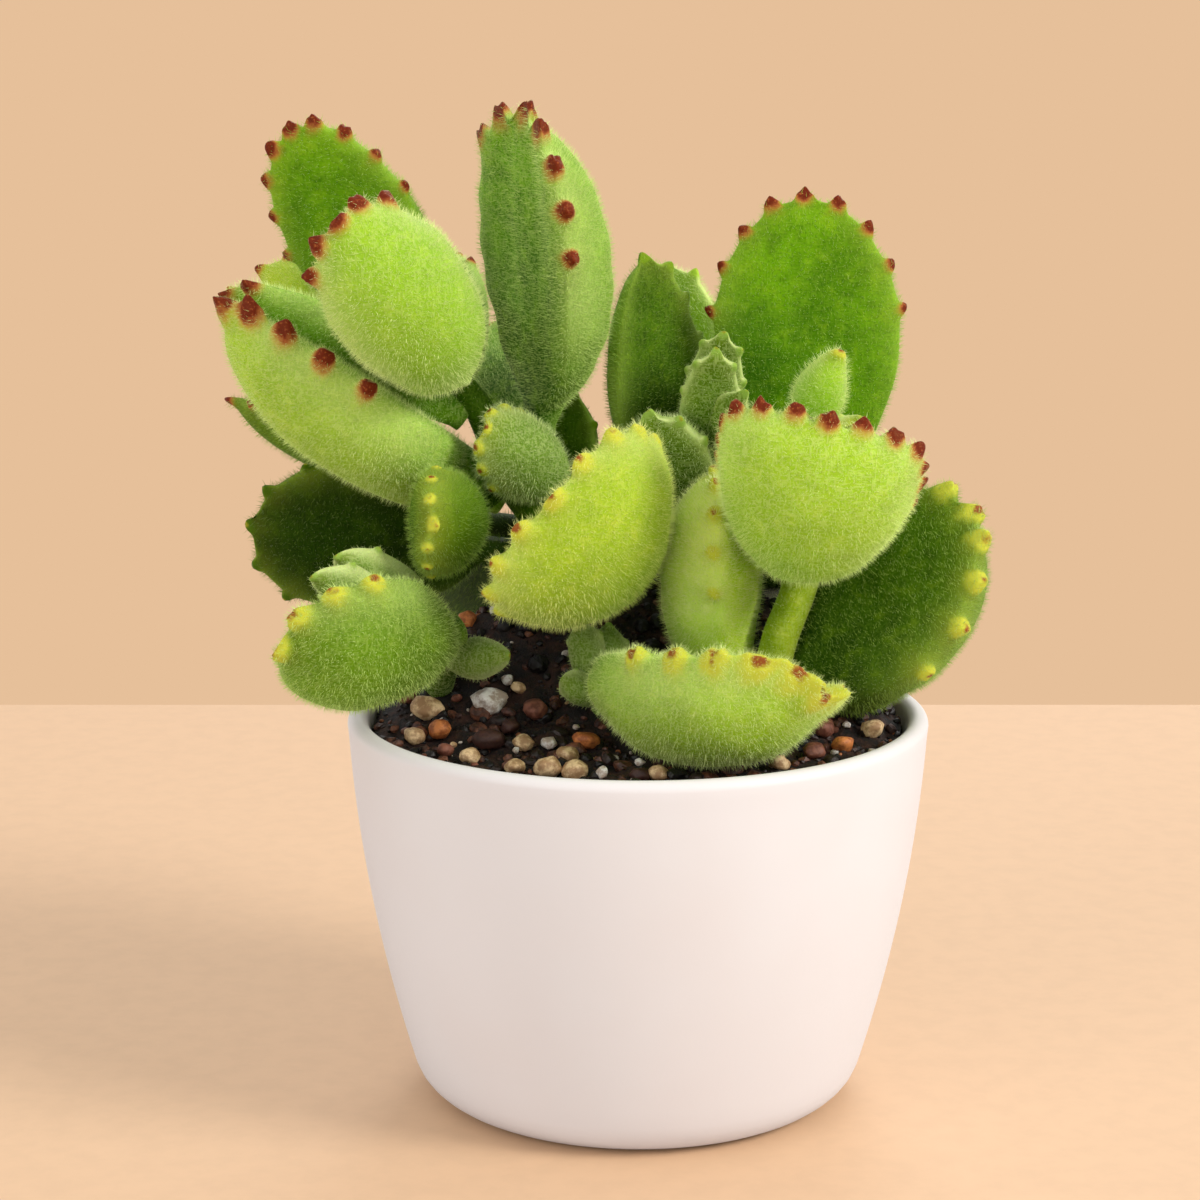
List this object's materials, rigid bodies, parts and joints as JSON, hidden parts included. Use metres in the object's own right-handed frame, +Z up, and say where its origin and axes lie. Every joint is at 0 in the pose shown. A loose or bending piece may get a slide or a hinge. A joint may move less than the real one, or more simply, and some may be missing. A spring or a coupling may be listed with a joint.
{
  "type": "potted bears paw",
  "caption": "Small potted succulent with fat downy leaves, each edged with short claws at its tip, in a plain round pot filled with dark soil and pebbles.",
  "frame": {"origin": "middle of the pot's flat underside", "axes": "+Z up along the pot's axis, -Y towards the front of the plant, +X to the right seen from the front"},
  "size_m": [0.1047, 0.0913, 0.1369],
  "materials": {
    "pot_white": "matte",
    "soil": "matte",
    "stem": "matte",
    "leaf_green": "matte",
    "leaf_pale": "matte",
    "leaf_dark": "matte"
  },
  "bodies": {
    "root": {"pot": "pot_white", "soil": "soil", "stem_left": "stem", "stem_centre": "stem", "stem_right": "stem", "stem_left_low": "stem", "stem_front": "stem", "leaf_tall": "leaf_green", "leaf_left_pale": "leaf_pale", "leaf_left_back": "leaf_dark", "leaf_left_long": "leaf_green", "leaf_left_upper": "leaf_green", "leaf_left_small": "leaf_pale", "leaf_left_thin": "leaf_dark", "leaf_left_dark": "leaf_dark", "leaf_left_low": "leaf_green", "leaf_egg_lower": "leaf_green", "leaf_egg_upper": "leaf_green", "leaf_front_oval": "leaf_pale", "leaf_centre_young": "leaf_green", "leaf_centre_dark": "leaf_dark", "leaf_centre_bright": "leaf_pale", "leaf_right_round": "leaf_green", "leaf_right_pointed": "leaf_pale", "leaf_right_bowl": "leaf_pale", "leaf_front_upright": "leaf_green", "leaf_right_low": "leaf_dark", "leaf_front_low": "leaf_pale", "leaf_rear_left_high": "leaf_dark", "leaf_rear_middle_high": "leaf_dark", "leaf_rear_centre": "leaf_dark", "leaf_rear_right_high": "leaf_dark", "leaf_rear_right_low": "leaf_dark", "leaf_rear_centre_low": "leaf_dark", "leaf_rear_left_low": "leaf_dark"}
  },
  "joints": []
}
